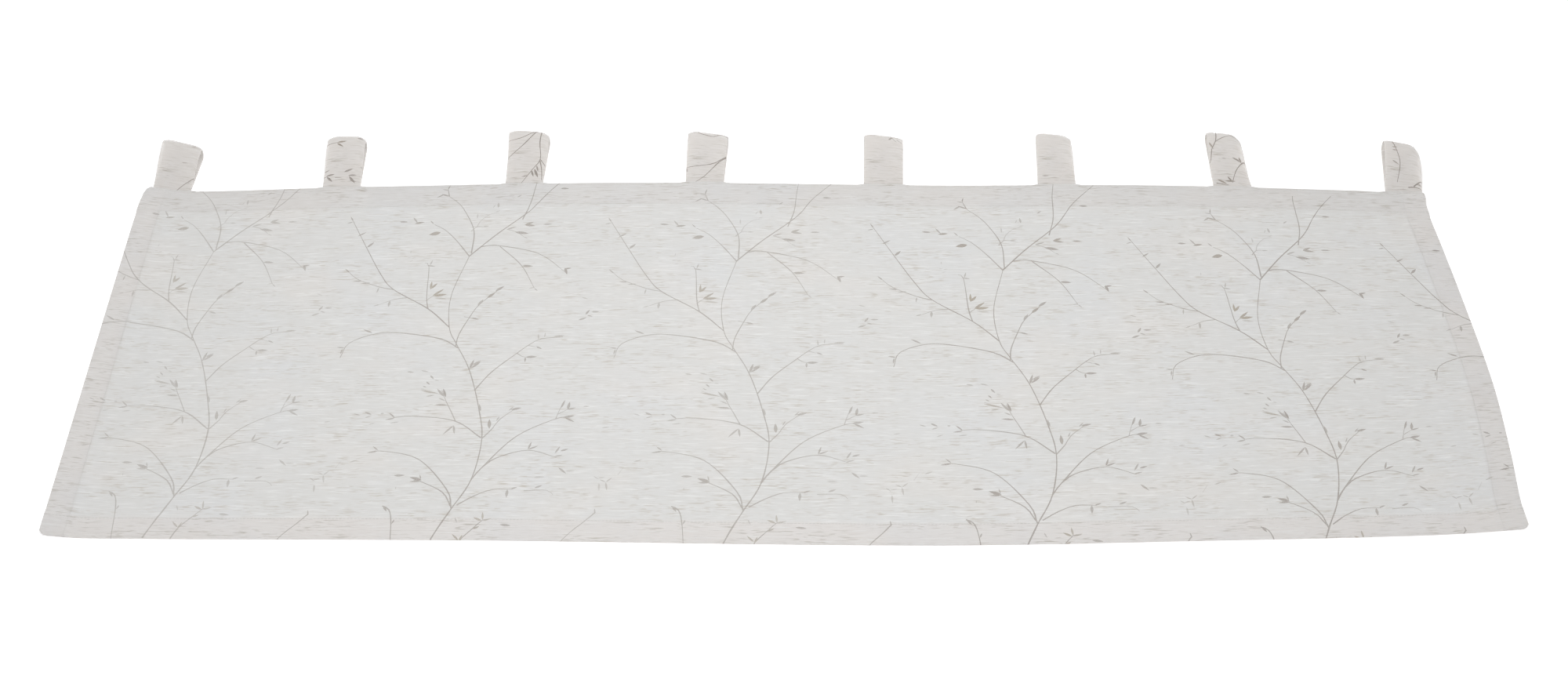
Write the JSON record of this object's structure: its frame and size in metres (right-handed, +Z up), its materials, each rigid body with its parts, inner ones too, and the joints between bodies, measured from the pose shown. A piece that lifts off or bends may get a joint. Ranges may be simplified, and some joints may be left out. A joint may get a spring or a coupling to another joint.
{
  "type": "tab top window curtain",
  "caption": "Short wide semi-sheer window curtain with a twig print, turned hems and a row of fabric tab loops along its top edge, laid out flat.",
  "frame": {"origin": "on the surface that the curtain lies on, under the middle of its overall box", "axes": "+X along the width, +Y towards the tab loops, +Z up, off the surface and out of the printed face"},
  "size_m": [1.413, 0.6094, 0.0155],
  "materials": {
    "cloth": "semi-sheer slub weave, off-white with a taupe twig print, matt"
  },
  "bodies": {
    "root": {"panel": "cloth", "heading_facing": "cloth", "tab_1": "cloth", "tab_2": "cloth", "tab_3": "cloth", "tab_4": "cloth", "tab_5": "cloth", "tab_6": "cloth", "tab_7": "cloth", "tab_8": "cloth"}
  },
  "joints": []
}
